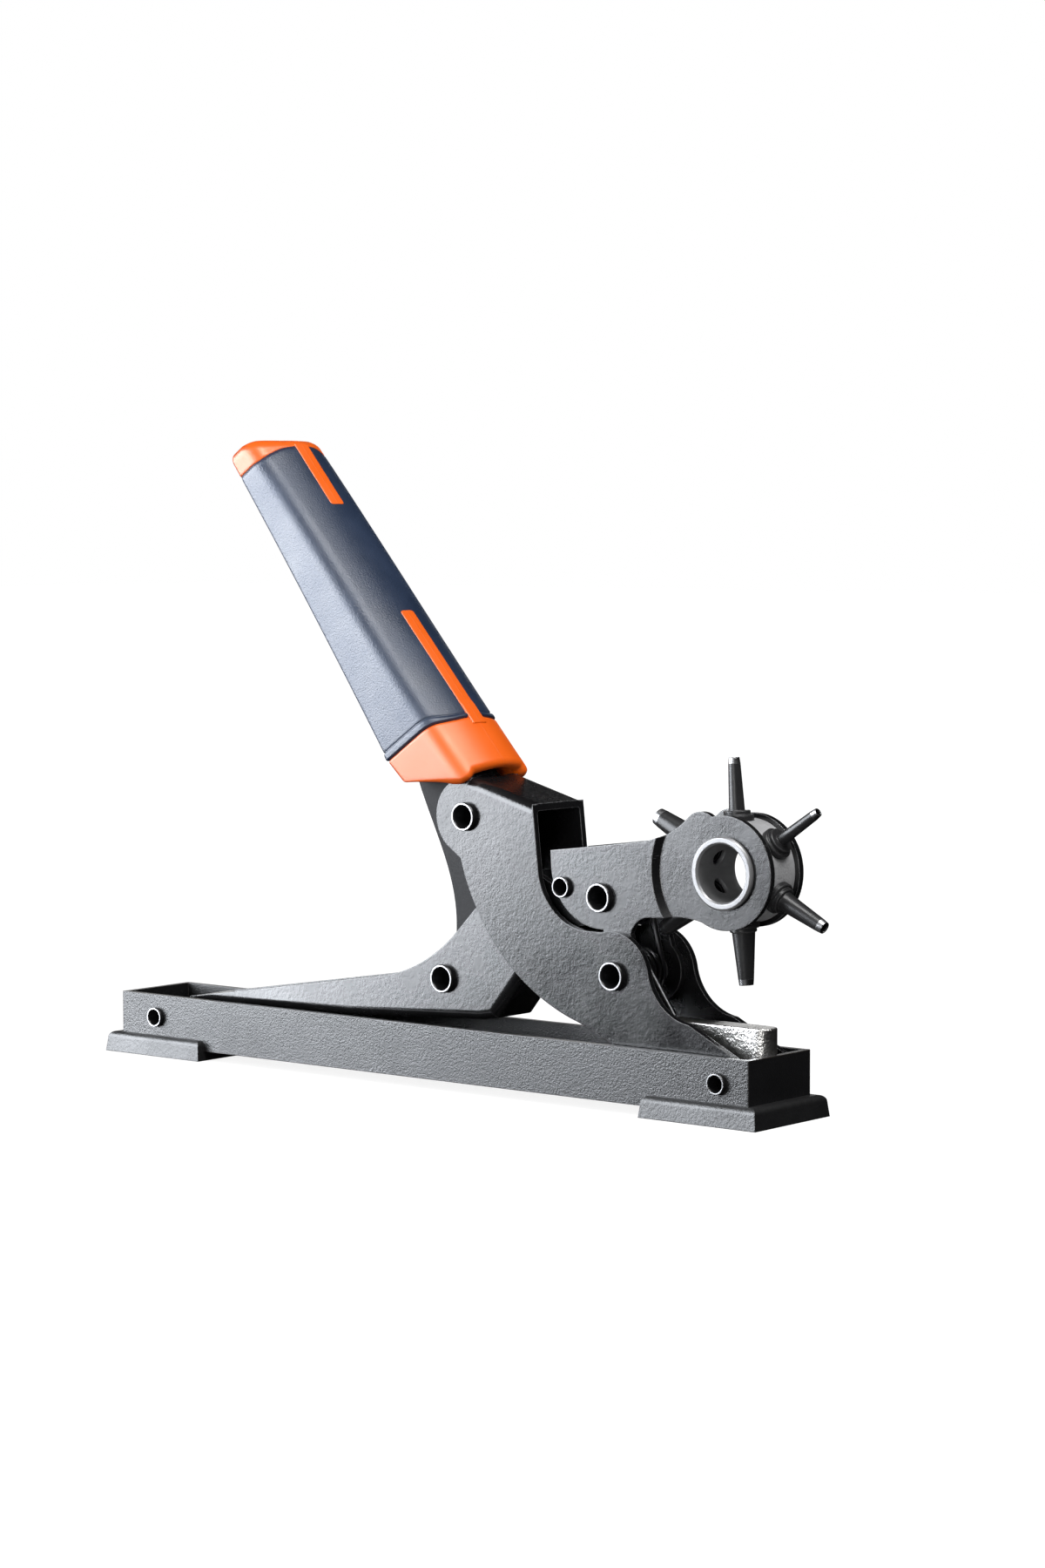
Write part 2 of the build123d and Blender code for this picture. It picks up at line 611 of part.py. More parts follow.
with BuildPart() as jaw_plate_near:
    with BuildSketch(side(-JAW_IN)):
        with BuildLine():
            jaw_outline()
        make_face()
    extrude(amount=SHEET)
    with Locations(across(WHEEL_CENTRE, -JAW_IN)):
        Cone(
            JOGGLE_RADIUS,
            JOGGLE_RADIUS + JOGGLE_FLARE,
            SHEET,
            align=(Align.CENTER, Align.CENTER, Align.MIN),
            mode=Mode.SUBTRACT,
        )
    add(ear_layer.part)
    with BuildSketch(side()):
        with Locations(WHEEL_CENTRE):
            Circle(HUB_RADIUS + 1.5 * RUNNING)
        with Locations(JAW_PIVOT):
            Circle(SHAFT + RUNNING)
        with Locations(JAW_LINK):
            Circle(SHAFT)
        with Locations(STOP_RIVET):
            Circle(SMALL_SHAFT)
    extrude(amount=JAW_OUT, mode=Mode.SUBTRACT)

with BuildPart() as jaw_plate_far:
    mirror(jaw_plate_near.part, about=Plane.XZ)

jaw_pivot_spacer = sleeve(JAW_PIVOT, SPACER, SHAFT + RUNNING, JAW_IN)
jaw_link_rivet = tubular_rivet(JAW_LINK, JAW_OUT, SHAFT, HEAD, HEAD_HEIGHT, RIVET_BORE)
jaw_link_spacer = sleeve(JAW_LINK, SPACER, SHAFT, ARM_IN - RUNNING)
stop_rivet = tubular_rivet(STOP_RIVET, JAW_OUT, SMALL_SHAFT, SMALL_HEAD, SMALL_HEAD_HEIGHT, SMALL_BORE)
stop_spacer = sleeve(STOP_RIVET, SMALL_HEAD - 0.15, SMALL_SHAFT, JAW_IN)

HOOK_START, HOOK_STOP = 280.0, 92.0
with BuildPart() as index_spring:  # leaf whose tip clicks between two tube collars
    hook_radius = SMALL_HEAD - 0.15 + INDEX_THICK / 2
    hook_end = polar(STOP_RIVET, hook_radius, HOOK_STOP)
    with BuildSketch(side(INDEX_OUTER)):
        with BuildLine():
            CenterArc(STOP_RIVET, hook_radius, HOOK_START, HOOK_STOP - HOOK_START)
            FilletPolyline(hook_end, (88.0, 70.6), (94.6, 69.6), radius=3.0)
        trace(line_width=INDEX_THICK)
    extrude(amount=INDEX_OUTER - INDEX_INNER)

# ------------------------------------------------------------------ return spring: torsion coil round the jaw pivot
FIXED_LEG_ANGLE, MOVING_LEG_ANGLE = 36.9, 18.0
FIXED_LEG, MOVING_LEG = 18.9, 22.0


def coil_point(turn_angle, start_y):
    """Point and unit tangent of the coil after turn_angle radians from the fixed leg."""
    angle = math.radians(FIXED_LEG_ANGLE) + turn_angle
    rise = SPRING_PITCH / (2 * math.pi)
    point = Vector(
        TRAY_MIDDLE_X + JAW_PIVOT[0] + SPRING_RADIUS * math.cos(angle),
        start_y + rise * turn_angle,
        JAW_PIVOT[1] + SPRING_RADIUS * math.sin(angle),
    )
    tangent = Vector(-SPRING_RADIUS * math.sin(angle), rise, SPRING_RADIUS * math.cos(angle))
    return point, tangent.normalized()


def biarc_joint(first, first_tangent, last, last_tangent):
    """Joint of the two tangent arcs that lead from one point and direction to another."""
    chord = last - first
    both = first_tangent + last_tangent
    spread = 2 * (1 - first_tangent.dot(last_tangent))
    reach = (-chord.dot(both) + math.sqrt(chord.dot(both) ** 2 + spread * chord.dot(chord))) / spread
    return (first + last + (first_tangent - last_tangent) * reach) * 0.5


coil_sweep = 2 * math.pi * SPRING_TURNS + math.radians(MOVING_LEG_ANGLE - FIXED_LEG_ANGLE)
coil_steps = 3 * SPRING_TURNS
coil_start_y = -SPRING_PITCH * coil_sweep / (4 * math.pi)
with BuildPart() as return_spring:
    with BuildLine() as spring_line:
        stations = [coil_point(coil_sweep * i / coil_steps, coil_start_y) for i in range(coil_steps + 1)]
        entry, entry_tangent = stations[0]
        Line(entry - entry_tangent * FIXED_LEG, entry)
        for (here, here_tangent), (there, there_tangent) in zip(stations, stations[1:]):
            joint = biarc_joint(here, here_tangent, there, there_tangent)
            first_half = TangentArc(here, joint, tangent=here_tangent)
            TangentArc(joint, there, tangent=first_half % 1)
        leave, leave_tangent = stations[-1]
        Line(leave, leave + leave_tangent * MOVING_LEG)
    with BuildSketch(Plane(origin=spring_line.line @ 0, z_dir=spring_line.line % 0)):
        Circle(SPRING_WIRE / 2)
    sweep()
print("return spring: least gap between turns", round(SPRING_PITCH - SPRING_WIRE, 2), "mm")

# ------------------------------------------------------------------ wheel: drum, hollow hub and six punch tubes
WHEEL_MIDDLE = Vector(TRAY_MIDDLE_X + WHEEL_CENTRE[0], 0, WHEEL_CENTRE[1])


def outward(angle):
    """Unit vector from the wheel's middle towards the tube at an angle."""
    return Vector(math.cos(math.radians(angle)), 0, math.sin(math.radians(angle)))


with BuildPart() as wheel_drum:
    with BuildSketch(side()):
        with Locations(WHEEL_CENTRE):
            Circle(DRUM_RADIUS)
            Circle(HUB_RADIUS, mode=Mode.SUBTRACT)
    extrude(amount=DRUM_HALF, both=True)
    for angle in TUBES.values():
        with BuildSketch(Plane(origin=WHEEL_MIDDLE + outward(angle) * SEAT_AT, z_dir=outward(angle))):
            Circle(SEAT_RADIUS)
        extrude(amount=DRUM_RADIUS - SEAT_AT + 1, mode=Mode.SUBTRACT)
        with BuildSketch(Plane(origin=WHEEL_MIDDLE, z_dir=outward(angle))):
            Circle(STEM_RADIUS)
        extrude(amount=DRUM_RADIUS, mode=Mode.SUBTRACT)


ring_start = EAR_OUT + 2 * RUNNING
ring_stop = ring_start + HUB_RING_HEIGHT
with BuildPart() as wheel_hub:
    with BuildSketch(Plane(origin=WHEEL_MIDDLE, x_dir=(1, 0, 0), z_dir=(0, 0, 1))):
        with BuildLine():
            Polyline(
                (HUB_BORE, 0),
                (HUB_BORE, ring_stop - 0.6),
                (HUB_BORE + 0.5, ring_stop),
                (HUB_RING - 0.5, ring_stop),
                (HUB_RING, ring_stop - 0.5),
                (HUB_RING, ring_start),
                (HUB_RADIUS, ring_start),
                (HUB_RADIUS, 0),
                close=True,
            )
        make_face()
    revolve(axis=Axis(WHEEL_MIDDLE, (0, 1, 0)))
    mirror(about=Plane.XZ)
    for angle in TUBES.values():
        with BuildSketch(Plane(origin=WHEEL_MIDDLE, z_dir=outward(angle))):
            Circle(HUB_WINDOW)
        extrude(amount=HUB_RADIUS + 1, mode=Mode.SUBTRACT)


def punch_tube(hole, angle):
    """Punch tube for one hole size: threaded stem, collar, shoulder, tapered tube and bevelled cutting edge."""
    bore = hole / 2
    tip = bore + TUBE_WALL
    root = tip + min(TUBE_TAPER + TUBE_TAPER_GROWTH * (hole - 2.5), LARGEST_TAPER)
    shoulder = max(SHOULDER_RADIUS, root + 0.3)
    axis = outward(angle)
    section = Plane(origin=WHEEL_MIDDLE, x_dir=(0, 1, 0), z_dir=Vector(0, 1, 0).cross(axis))
    with BuildPart() as tube:
        with BuildSketch(section):
            with BuildLine():
                Polyline(
                    (bore, HUB_RADIUS + 0.4),
                    (STEM_RADIUS, HUB_RADIUS + 0.4),
                    (STEM_RADIUS, SEAT_AT),
                    (COLLAR_RADIUS, SEAT_AT),
                    (COLLAR_RADIUS, COLLAR_TOP - 0.3),
                    (COLLAR_RADIUS - 0.3, COLLAR_TOP),
                    (shoulder, COLLAR_TOP),
                    (shoulder, SHOULDER_TOP - SHOULDER_EDGE),
                    (shoulder - SHOULDER_EDGE, SHOULDER_TOP),
                    (root, SHOULDER_TOP),
                    (tip, TUBE_TIP_AT - TUBE_BEVEL),
                    (bore + TUBE_EDGE, TUBE_TIP_AT),
                    (bore, TUBE_TIP_AT),
                    close=True,
                )
            make_face()
        revolve(axis=Axis(WHEEL_MIDDLE, axis))
    return tube


# ------------------------------------------------------------------ the finished pieces
pieces = {
    "base_tray": base_tray,
    "foot_rear": foot_rear,
    "foot_front": foot_front,
    "base_rivet_rear": base_rivet_rear,
    "base_rivet_front": base_rivet_front,
    "rear_tie_tube": rear_tie_tube,
    "tray_washers": tray_washers,
    "anvil_spacers": anvil_spacers,
    "frame_body": frame_body,
    "anvil": anvil,
    "lever_pivot_rivet": lever_pivot_rivet,
    "lever_pivot_washers": lever_pivot_washers,
    "jaw_pivot_rivet": jaw_pivot_rivet,
    "return_spring": return_spring,
    "lever_core": lever_core,
    "lever_pivot_spacer": lever_pivot_spacer,
    "grip_body": grip_body,
    "grip_guard": grip_guard,
    "grip_end_cap": grip_end_cap,
    "grip_inlays": grip_inlays,
    "lower_lever": lower_lever,
    "link_rivet": link_rivet,
    "link_spacer": link_spacer,
    "jaw_plate_near": jaw_plate_near,
    "jaw_plate_far": jaw_plate_far,
    "jaw_pivot_spacer": jaw_pivot_spacer,
    "jaw_link_rivet": jaw_link_rivet,
    "jaw_link_spacer": jaw_link_spacer,
    "stop_rivet": stop_rivet,
    "stop_spacer": stop_spacer,
    "index_spring": index_spring,
    "wheel_drum": wheel_drum,
    "wheel_hub": wheel_hub,
}
for hole, angle in TUBES.items():
    pieces[f"punch_tube_{hole:.1f}".replace(".", "_")] = punch_tube(hole, angle)

for label, piece in pieces.items():
    piece.part.label = label
    export_step(piece.part, f"parts/{label}.step")

whole = Compound(children=[piece.part for piece in pieces.values()]).bounding_box()
print("nodes", len(pieces), "x", round(whole.min.X, 2), round(whole.max.X, 2))
print("y", round(whole.min.Y, 2), round(whole.max.Y, 2), "z", round(whole.min.Z, 2), round(whole.max.Z, 2))
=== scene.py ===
"""Bench lever hole punch on white: looks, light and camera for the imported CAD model."""
import json
import math

import bpy
import numpy as np
from mathutils import Matrix, Quaternion, Vector


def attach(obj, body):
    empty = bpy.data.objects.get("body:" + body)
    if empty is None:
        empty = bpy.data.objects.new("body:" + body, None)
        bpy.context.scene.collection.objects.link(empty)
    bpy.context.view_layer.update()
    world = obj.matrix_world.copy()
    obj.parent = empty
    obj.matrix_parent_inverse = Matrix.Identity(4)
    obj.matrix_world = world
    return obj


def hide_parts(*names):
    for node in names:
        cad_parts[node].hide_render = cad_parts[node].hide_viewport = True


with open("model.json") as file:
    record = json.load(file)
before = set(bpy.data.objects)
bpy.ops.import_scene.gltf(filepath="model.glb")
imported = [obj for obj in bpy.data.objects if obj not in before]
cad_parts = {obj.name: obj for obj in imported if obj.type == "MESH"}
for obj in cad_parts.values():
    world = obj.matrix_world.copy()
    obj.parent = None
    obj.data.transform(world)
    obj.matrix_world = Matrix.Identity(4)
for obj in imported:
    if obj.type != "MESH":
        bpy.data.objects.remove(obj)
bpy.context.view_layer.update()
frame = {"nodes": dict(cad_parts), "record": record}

MM = 0.001
TRAY_MIDDLE_X = -5.7  # mm, the tray's middle in the row frame
LEVER_PIVOT = (TRAY_MIDDLE_X + 18.3, 82.8)
WHEEL_CENTRE = (TRAY_MIDDLE_X + 110.85, 70.95)
GRIP_ANGLE = math.radians(125.0)

nodes = frame["nodes"]


# ------------------------------------------------------------------ shader groups
def new_group(name, inputs, outputs):
    """Empty shader group. Both lists hold (socket name, socket type, default)."""
    group = bpy.data.node_groups.new(name, "ShaderNodeTree")
    for title, kind, value in inputs:
        socket = group.interface.new_socket(title, in_out="INPUT", socket_type=kind)
        if value is not None:
            socket.default_value = value
    for title, kind, value in outputs:
        group.interface.new_socket(title, in_out="OUTPUT", socket_type=kind)
    start = group.nodes.new("NodeGroupInput")
    end = group.nodes.new("NodeGroupOutput")
    return group, start, end


def put(tree, kind, **settings):
    """New node of a kind with its properties set."""
    node = tree.nodes.new(kind)
    for name, value in settings.items():
        setattr(node, name, value)
    return node


def wire(tree, source, target):
    """Link an output to an input."""
    tree.links.new(source, target)


def number(tree, operation, first, second=None, third=None, clamp=False):
    """Math node. Each operand is a number or a socket. Returns its output."""
    node = put(tree, "ShaderNodeMath", operation=operation, use_clamp=clamp)
    for index, value in enumerate((first, second, third)):
        if value is None:
            continue
        if isinstance(value, (int, float)):
            node.inputs[index].default_value = value
        else:
            wire(tree, value, node.inputs[index])
    return node.outputs[0]


def noise(tree, place, scale, detail=2.0, roughness=0.5):
    """Noise texture's factor at a place."""
    node = put(tree, "ShaderNodeTexNoise")
    node.inputs["Scale"].default_value = scale
    node.inputs["Detail"].default_value = detail
    node.inputs["Roughness"].default_value = roughness
    wire(tree, place, node.inputs["Vector"])
    return node.outputs["Fac"]


def spread(tree, value, low, high, to_low, to_high):
    """Clamped map of a value from one range to another."""
    node = put(tree, "ShaderNodeMapRange")
    wire(tree, value, node.inputs["Value"])
    limits = {"From Min": low, "From Max": high, "To Min": to_low, "To Max": to_high}
    for name, limit in limits.items():
        node.inputs[name].default_value = limit
    return node.outputs["Result"]


def edge_mask_group():
    """Mask of convex and concave edges: how far a rounded normal leans away from the true one."""
    group, start, end = new_group(
        "edge_mask", [("Radius", "NodeSocketFloat", 0.0004)], [("Mask", "NodeSocketFloat", None)]
    )
    rounded = put(group, "ShaderNodeBevel", samples=4)
    wire(group, start.outputs["Radius"], rounded.inputs["Radius"])
    geometry = put(group, "ShaderNodeNewGeometry")
    lean = put(group, "ShaderNodeVectorMath", operation="DOT_PRODUCT")
    wire(group, rounded.outputs["Normal"], lean.inputs[0])
    wire(group, geometry.outputs["Normal"], lean.inputs[1])
    mask = spread(group, lean.outputs["Value"], 0.995, 0.80, 0.0, 1.0)
    place = put(group, "ShaderNodeTexCoord").outputs["Object"]
    broken = spread(group, noise(group, place, 900.0, 4.0, 0.6), 0.35, 0.6, 0.55, 1.0)
    wire(group, number(group, "MULTIPLY", mask, broken), end.inputs["Mask"])
    return group


def coat_grain_group():
    """Paint surface: height of a broad orange peel and a fine grain, and a slow change of gloss."""
    inputs = [
        ("Peel", "NodeSocketFloat", 900.0),
        ("Grain", "NodeSocketFloat", 4000.0),
        ("Share", "NodeSocketFloat", 0.4),
    ]
    outputs = [("Height", "NodeSocketFloat", None), ("Gloss", "NodeSocketFloat", None)]
    group, start, end = new_group("coat_grain", inputs, outputs)
    place = put(group, "ShaderNodeTexCoord").outputs["Object"]
    peel = put(group, "ShaderNodeTexNoise")
    grain = put(group, "ShaderNodeTexNoise")
    for texture, name in ((peel, "Peel"), (grain, "Grain")):
        wire(group, place, texture.inputs["Vector"])
        wire(group, start.outputs[name], texture.inputs["Scale"])
        texture.inputs["Detail"].default_value = 2.0
    fine = number(group, "MULTIPLY", grain.outputs["Fac"], start.outputs["Share"])
    wire(group, number(group, "ADD", peel.outputs["Fac"], fine), end.inputs["Height"])
    slow = noise(group, place, 60.0, 5.0, 0.6)
    wire(group, spread(group, slow, 0.3, 0.7, -1.0, 1.0), end.inputs["Gloss"])
    return group


def scuff_group():
    """Faint scratches and specks: long thin noise in one direction, thinned by a broad patch mask."""
    group, start, end = new_group(
        "scuffs", [("Amount", "NodeSocketFloat", 1.0)], [("Mask", "NodeSocketFloat", None)]
    )
    place = put(group, "ShaderNodeTexCoord").outputs["Object"]
    stretch = put(group, "ShaderNodeMapping")
    stretch.inputs["Scale"].default_value = (250.0, 250.0, 2500.0)
    stretch.inputs["Rotation"].default_value = (0.3, 0.5, 0.2)
    wire(group, place, stretch.inputs["Vector"])
    lines = noise(group, stretch.outputs["Vector"], 1.0, 3.0, 0.6)
    patches = spread(group, noise(group, place, 45.0, 4.0, 0.6), 0.5, 0.72, 0.0, 1.0)
    thin = spread(group, lines, 0.62, 0.72, 0.0, 1.0)
    both = number(group, "MULTIPLY", thin, patches)
    wire(group, number(group, "MULTIPLY", both, start.outputs["Amount"]), end.inputs["Mask"])
    return group


EDGE_MASK = edge_mask_group()
COAT_GRAIN = coat_grain_group()
SCUFFS = scuff_group()


# ------------------------------------------------------------------ materials
EDGE_RADIUS = 0.0004  # m, how far from an edge its lighter colour (wear on most materials, a painted highlight on the black paints) and its rounded normal reach
BARE_FRINGE = 0.0001  # m, width of the ragged border of a bare stretch
GRAIN_SHARE = 0.6  # height of the fine grain against the orange peel
GLOSS_CHANGE = 0.05  # how much the roughness wanders either way


def use_group(tree, group, **values):
    """Shader group placed in a tree, with its inputs set."""
    node = put(tree, "ShaderNodeGroup", node_tree=group)
    for name, value in values.items():
        node.inputs[name].default_value = value
    return node


def blend_colour(tree, factor, first, second):
    """Mix of two fixed colours by a varying factor."""
    node = put(tree, "ShaderNodeMix", data_type="RGBA")
    wire(tree, factor, node.inputs["Factor"])
    node.inputs["A"].default_value = (*first, 1.0)
    node.inputs["B"].default_value = (*second, 1.0)
    return node.outputs["Result"]


def bare_mask(tree, bare_above, bare_beyond):
    """Where a black piece is bare: far from the middle plane, or far from the wheel's axis."""
    place = put(tree, "ShaderNodeTexCoord").outputs["Object"]
    parts = put(tree, "ShaderNodeSeparateXYZ")
    wire(tree, place, parts.inputs[0])
    if bare_above is not None:
        distance, limit = number(tree, "ABSOLUTE", parts.outputs["Y"]), bare_above
    else:
        x = number(tree, "SUBTRACT", parts.outputs["X"], WHEEL_CENTRE[0] * MM)
        z = number(tree, "SUBTRACT", parts.outputs["Z"], WHEEL_CENTRE[1] * MM)
        squares = number(tree, "ADD", number(tree, "MULTIPLY", x, x), number(tree, "MULTIPLY", z, z))
        distance, limit = number(tree, "SQRT", squares), bare_beyond
    ragged = number(tree, "MULTIPLY_ADD", noise(tree, place, 1500.0), BARE_FRINGE, distance)
    return spread(tree, ragged, limit, limit + BARE_FRINGE, 0.0, 1.0)


def surface(
    name,
    colour,
    wear_and_highlight_colour,
    roughness,
    metallic=0.0,
    worn_metallic=None,
    peel=700.0,
    grain=1600.0,
    height=0.00004,
    wear_and_highlight=0.4,
    scuffs=0.3,
    specular=0.5,
    mottle=0.15,
    bare_above=None,
    bare_beyond=None,
    seam=None,
):
    """Principled material with a lighter edge colour (real wear on most materials, a painted highlight on the
    black paints), grain, gloss change and mottled colour.
    """
    material = bpy.data.materials.new(name)
    material.use_nodes = True
    tree = material.node_tree
    shader = tree.nodes["Principled BSDF"]
    edges = use_group(tree, EDGE_MASK, Radius=EDGE_RADIUS).outputs["Mask"]
    skin = use_group(tree, COAT_GRAIN, Peel=peel, Grain=grain, Share=GRAIN_SHARE)
    marks = use_group(tree, SCUFFS, Amount=scuffs).outputs["Mask"]
    # Edges get the lighter colour by this share: real wear on most materials, a painted highlight on the
    # black paints.
    bare_and_highlit = number(tree, "MAXIMUM", number(tree, "MULTIPLY", edges, wear_and_highlight, clamp=True), marks)
    if bare_above is not None or bare_beyond is not None:
        bare_and_highlit = number(tree, "MAXIMUM", bare_and_highlit, bare_mask(tree, bare_above, bare_beyond))

    darker = tuple(c * (1.0 - mottle) for c in colour)
    lighter = tuple(min(1.0, c * (1.0 + mottle)) for c in colour)
    shade = spread(tree, skin.outputs["Gloss"], -1.0, 1.0, 0.0, 1.0)
    plain = blend_colour(tree, shade, darker, lighter)
    mixed = put(tree, "ShaderNodeMix", data_type="RGBA")
    wire(tree, bare_and_highlit, mixed.inputs["Factor"])
    wire(tree, plain, mixed.inputs["A"])
    mixed.inputs["B"].default_value = (*wear_and_highlight_colour, 1.0)
    wire(tree, mixed.outputs["Result"], shader.inputs["Base Color"])

    rough = number(tree, "MULTIPLY_ADD", skin.outputs["Gloss"], GLOSS_CHANGE, roughness)
    wire(tree, rough, shader.inputs["Roughness"])
    if worn_metallic is None:
        shader.inputs["Metallic"].default_value = metallic
    else:
        wire(tree, spread(tree, bare_and_highlit, 0.0, 1.0, metallic, worn_metallic), shader.inputs["Metallic"])
    shader.inputs["Specular IOR Level"].default_value = specular

    rounded = put(tree, "ShaderNodeBevel", samples=4)
    rounded.inputs["Radius"].default_value = EDGE_RADIUS
    bump = put(tree, "ShaderNodeBump")
    bump.inputs["Strength"].default_value = 1.0
    bump.inputs["Distance"].default_value = height
    relief = skin.outputs["Height"]
    if seam is not None:
        parts = put(tree, "ShaderNodeSeparateXYZ")
        wire(tree, put(tree, "ShaderNodeTexCoord").outputs["Object"], parts.inputs[0])
        ridge = spread(tree, number(tree, "ABSOLUTE", parts.outputs["Y"]), 0.0, seam, 5.0, 0.0)
        relief = number(tree, "ADD", relief, ridge)
    wire(tree, relief, bump.inputs["Height"])
    wire(tree, rounded.outputs["Normal"], bump.inputs["Normal"])
    wire(tree, bump.outputs["Normal"], shader.inputs["Normal"])
    return material


PAINT = (0.006, 0.006, 0.0066)
STEEL_RIM = (0.28, 0.28, 0.285)  # ground tube ends and rolled rivet rims
PAINTED_EDGE_HIGHLIGHT = (0.26, 0.26, 0.27)  # painted highlight: a lighter colour along a sheet's edges that stands in for light caught by the rounded edge
TUBE_GROUND_FROM = 30.9  # mm from the wheel's axis to where a tube's end is ground bright
# Both black paints take the painted edge highlight as their edge colour, with a large share: this is painted
# light, not wear.
black_paint = surface("black_paint", PAINT, PAINTED_EDGE_HIGHLIGHT, 0.26, height=0.00003, wear_and_highlight=0.8, specular=0.6)
frame_paint = surface("frame_paint", PAINT, PAINTED_EDGE_HIGHLIGHT, 0.25, height=0.00004, wear_and_highlight=0.8, specular=0.45)
core_paint = surface("core_paint", (0.02, 0.02, 0.022), (0.05, 0.05, 0.05), 0.55, specular=0.12)
grained_black = surface(
    "grained_black",
    PAINT,
    (0.12, 0.09, 0.07),
    0.36,
    peel=1500.0,
    grain=3000.0,
    height=0.00009,
    wear_and_highlight=0.5,
    specular=0.55,
)
foot_plastic = surface(
    "foot_plastic",
    PAINT,
    (0.05, 0.048, 0.045),
    0.46,
    peel=900.0,
    grain=1700.0,
    height=0.0001,
    specular=0.6,
)
zinc_plate = surface(
    "zinc_plate", (0.25, 0.25, 0.255), (0.32, 0.32, 0.32), 0.4, metallic=0.42, height=0.00001
)
cast_zinc = surface(
    "cast_zinc",
    (0.56, 0.56, 0.57),
    (0.7, 0.7, 0.7),
    0.5,
    metallic=0.5,
    peel=600.0,
    grain=1400.0,
    height=0.0002,
)
nickel = surface(
    "nickel", (0.55, 0.54, 0.52), (0.7, 0.69, 0.66), 0.30, metallic=1.0, height=0.00022
)
spring_steel = surface("spring_steel", (0.12, 0.12, 0.125), (0.3, 0.3, 0.3), 0.32, metallic=1.0)
grip_navy = surface(
    "grip_navy",
    (0.015, 0.029, 0.064),
    (0.05, 0.06, 0.09),
    0.42,
    peel=1600.0,
    grain=3200.0,
    height=0.00008,
    wear_and_highlight=0.1,
    scuffs=0.1,
    specular=0.57,
)
orange_plastic = surface(
    "orange_plastic",
    (0.88, 0.125, 0.001),
    (0.92, 0.225, 0.004),
    0.42,
    height=0.00001,
    wear_and_highlight=0.1,
    scuffs=0.0,
    specular=0.6,
    mottle=0.02,
    seam=0.0002,
)
orange_shader = orange_plastic.node_tree.nodes["Principled BSDF"]
orange_shader.inputs["Specular Tint"].default_value = (1.0, 0.96, 0.84, 1.0)
tube_black = surface(
    "tube_black",
    (0.02, 0.02, 0.021),
    STEEL_RIM,
    0.34,
    worn_metallic=1.0,
    specular=0.3,
    bare_beyond=TUBE_GROUND_FROM * MM,
)
RIVET_ENDS = {  # mm from the middle plane to a rivet's outer face
    "base_rivet": 16.6,
    "lever_pivot_rivet": 13.8,
    "jaw_pivot_rivet": 13.8,
    "stop_rivet": 11.4,
}
OTHER_RIVET_END = 11.6
RIVET_RIM = 0.05  # mm, depth of the bright rim


def rivet_material(end):
    """Black rivet whose rolled rim is worn bright."""
    return surface(
        f"black_rivet_{end:.0f}",
        PAINT,
        STEEL_RIM,
        0.3,
        worn_metallic=1.0,
        wear_and_highlight=0.0,
        bare_above=(end - RIVET_RIM) * MM,
    )


rivets = {end: rivet_material(end) for end in (*sorted(set(RIVET_ENDS.values())), OTHER_RIVET_END)}

SLOT_MATERIALS = {
    "grained_black": grained_black,
    "foot_plastic": foot_plastic,
    "black_rivet": rivets[OTHER_RIVET_END],
    "zinc_plate": zinc_plate,
    "black_paint": black_paint,
    "nickel": nickel,
    "spring_steel": spring_steel,
    "grip_navy": grip_navy,
    "orange_plastic": orange_plastic,
    "cast_zinc": cast_zinc,
    "tube_steel": tube_black,
}
for part in frame["record"]["subparts"]:
    mesh = nodes[part["node"]].data
    mesh.materials.clear()
    mesh.materials.append(SLOT_MATERIALS[part["material_slot"]])
for name, end in RIVET_ENDS.items():
    for node in (name, name + "_rear", name + "_front"):
        if node in nodes:
            nodes[node].data.materials[0] = rivets[end]
nodes["lever_core"].data.materials[0] = core_paint
nodes["frame_body"].data.materials[0] = frame_paint


# ------------------------------------------------------------------ grip skins
def along_grip(places, values):
    """Cubic along the grip that fits values at some places, both in mm."""
    return np.polynomial.Polynomial.fit(places, values, 3)


GUARD_S = 28.6  # mm along the grip's axis to the guard's upper end
HALF_WIDTH = along_grip([8.0, 19.0, GUARD_S, 60.0, 100.0, 134.0], [15.7, 16.2, 16.2, 15.9, 15.9, 16.0])
SIDE_TOP = along_grip([8.0, 19.0, GUARD_S, 60.0, 80.0, 100.0, 134.0], [9.5, 7.7, 6.2, 3.7, 1.9, -0.1, -4.2])
CROWN = along_grip([8.0, 19.0, GUARD_S, 60.0, 100.0, 134.0], [12.8, 11.8, 10.6, 7.3, 3.3, 0.2])
BODY_UNDERSIDE = along_grip(
    [GUARD_S, 40.0, 60.0, 90.0, 120.0, 136.0], [-14.0, -13.8, -13.7, -13.9, -14.2, -14.4]
)
GUARD_RISE = 0.2  # the underside's rise per mm along the guard
LOW_ROUND, TOP_ROUND = 1.3, 6.8


def underside(s):
    """How far the underside lies across the axis: the body's cubic, and a straight rise along the guard."""
    return BODY_UNDERSIDE(np.maximum(s, GUARD_S)) + GUARD_RISE * np.clip(GUARD_S - s, 0.0, None)


# where the flat, corner, side, shoulder and crown of half a section start, as a share of it
PART_STARTS = np.array([0.0, 0.14, 0.24, 0.42, 0.64, 1.0])
COLUMNS = 144
ROUND_SECTION = np.linspace(0.0, 2.0, COLUMNS, endpoint=False)[None, :]


